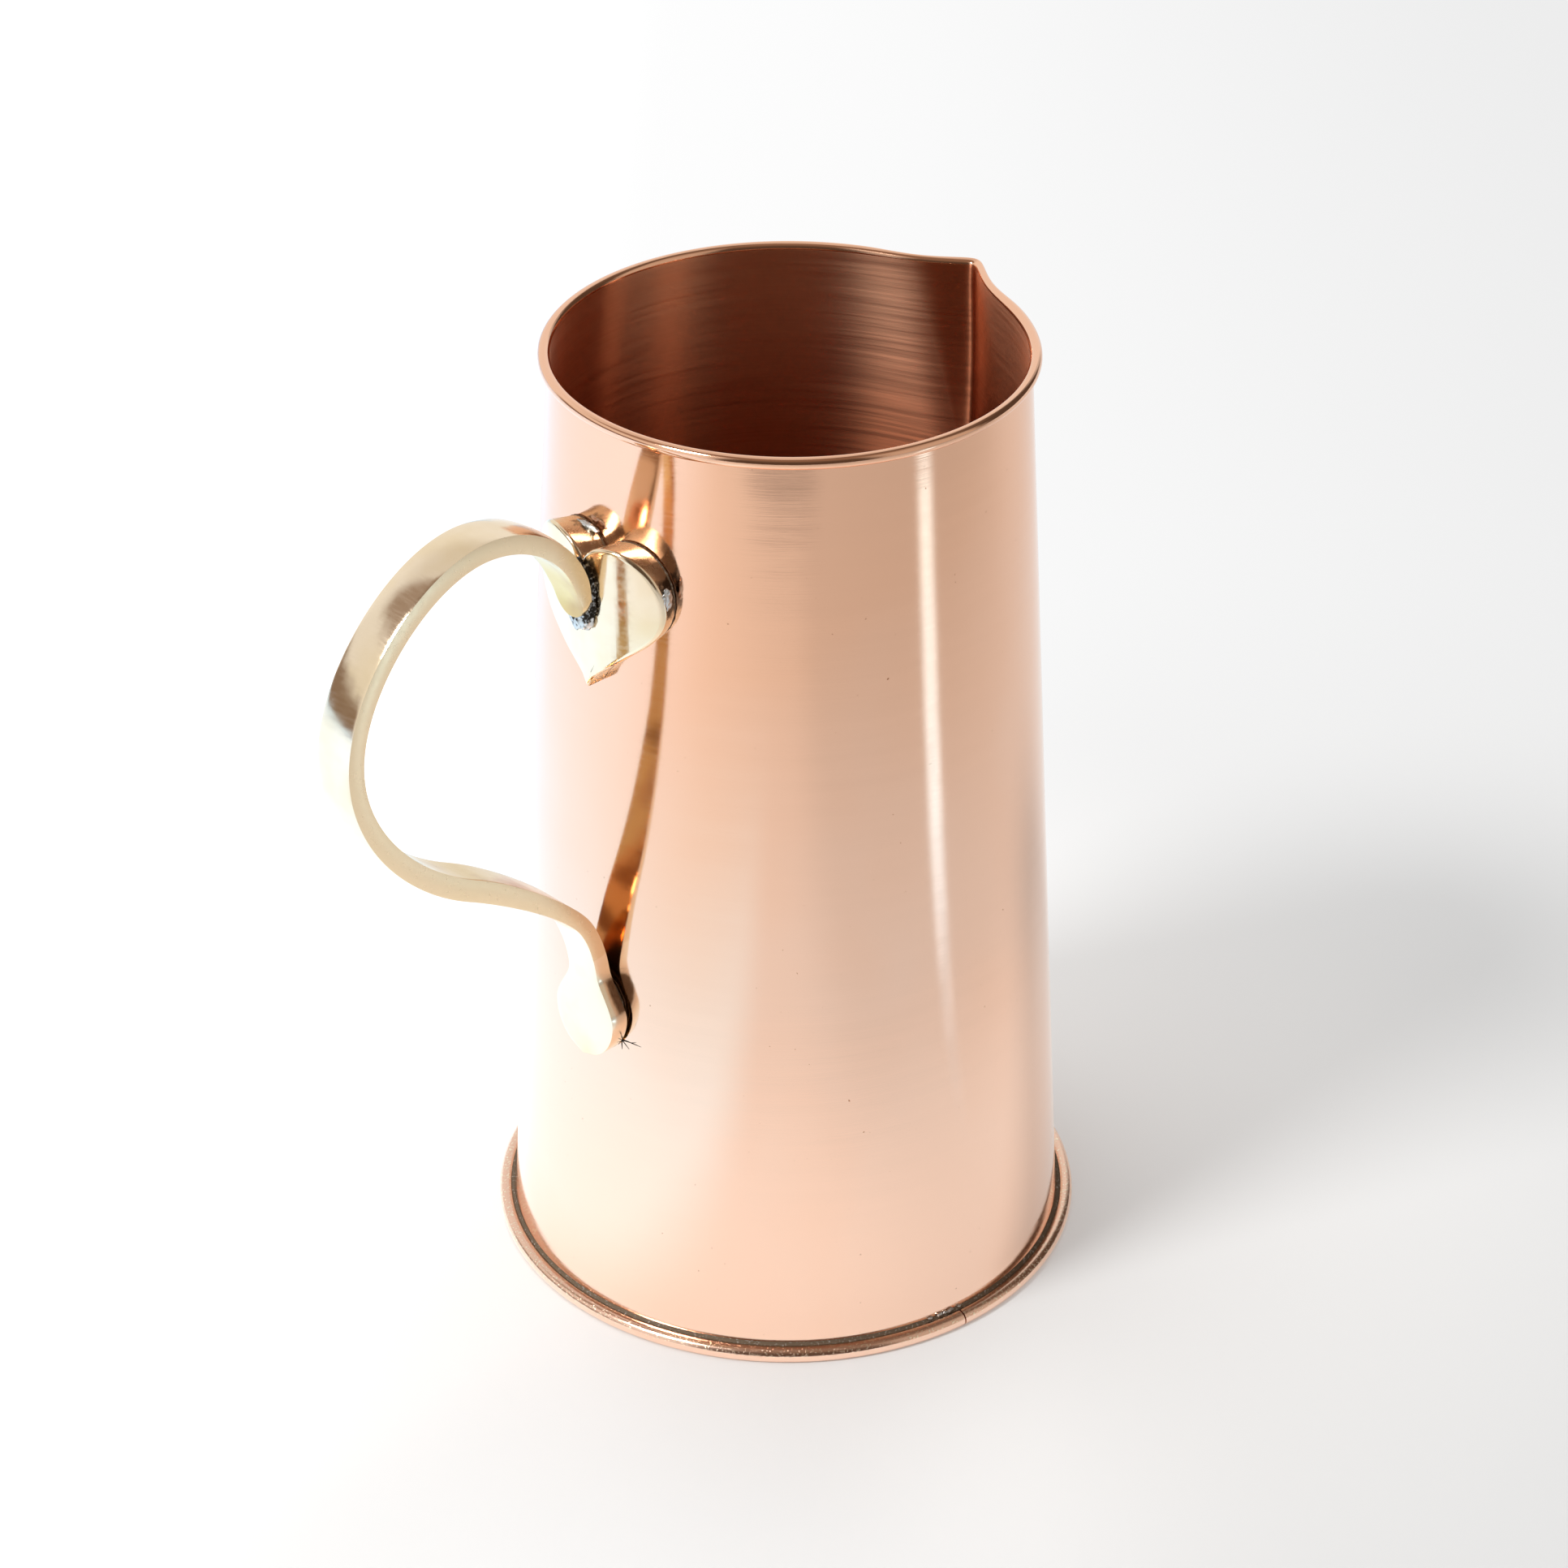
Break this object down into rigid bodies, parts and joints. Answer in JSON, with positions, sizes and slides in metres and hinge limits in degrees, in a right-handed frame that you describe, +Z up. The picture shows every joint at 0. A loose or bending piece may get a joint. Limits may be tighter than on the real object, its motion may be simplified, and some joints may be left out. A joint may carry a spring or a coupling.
{
  "type": "pitcher",
  "caption": "Tapered copper pitcher with a rolled rim, a pinched pouring lip, a round foot ring and a brass strap handle on a heart-shaped plate.",
  "frame": {"origin": "on the body's axis, in the plane of the flat underside of the base that the pitcher stands on", "axes": "+Z up along the body's axis, +X towards the pouring lip, -X towards the handle, +Y to the left of someone looking along +X"},
  "size_m": [0.2231, 0.1542, 0.25],
  "materials": {
    "copper": "polished copper outside, with fine scratches and specks; bare brushed brown copper inside",
    "brass": "pale yellow brass, polished faces and finely brushed edges",
    "solder": "dull grey soft solder with bright beads and dark flux stains",
    "wire": "plain drawn copper wire, hidden in the roll"
  },
  "bodies": {
    "root": {"body_wall": "copper", "rim_wire": "wire", "side_seam": "solder", "bottom_disc": "copper", "bottom_solder": "solder", "foot_ring": "copper", "foot_solder": "solder", "heart_plate": "brass", "heart_solder": "solder", "handle_strap": "brass", "strap_solder": "solder", "tongue_solder": "solder"}
  },
  "joints": []
}
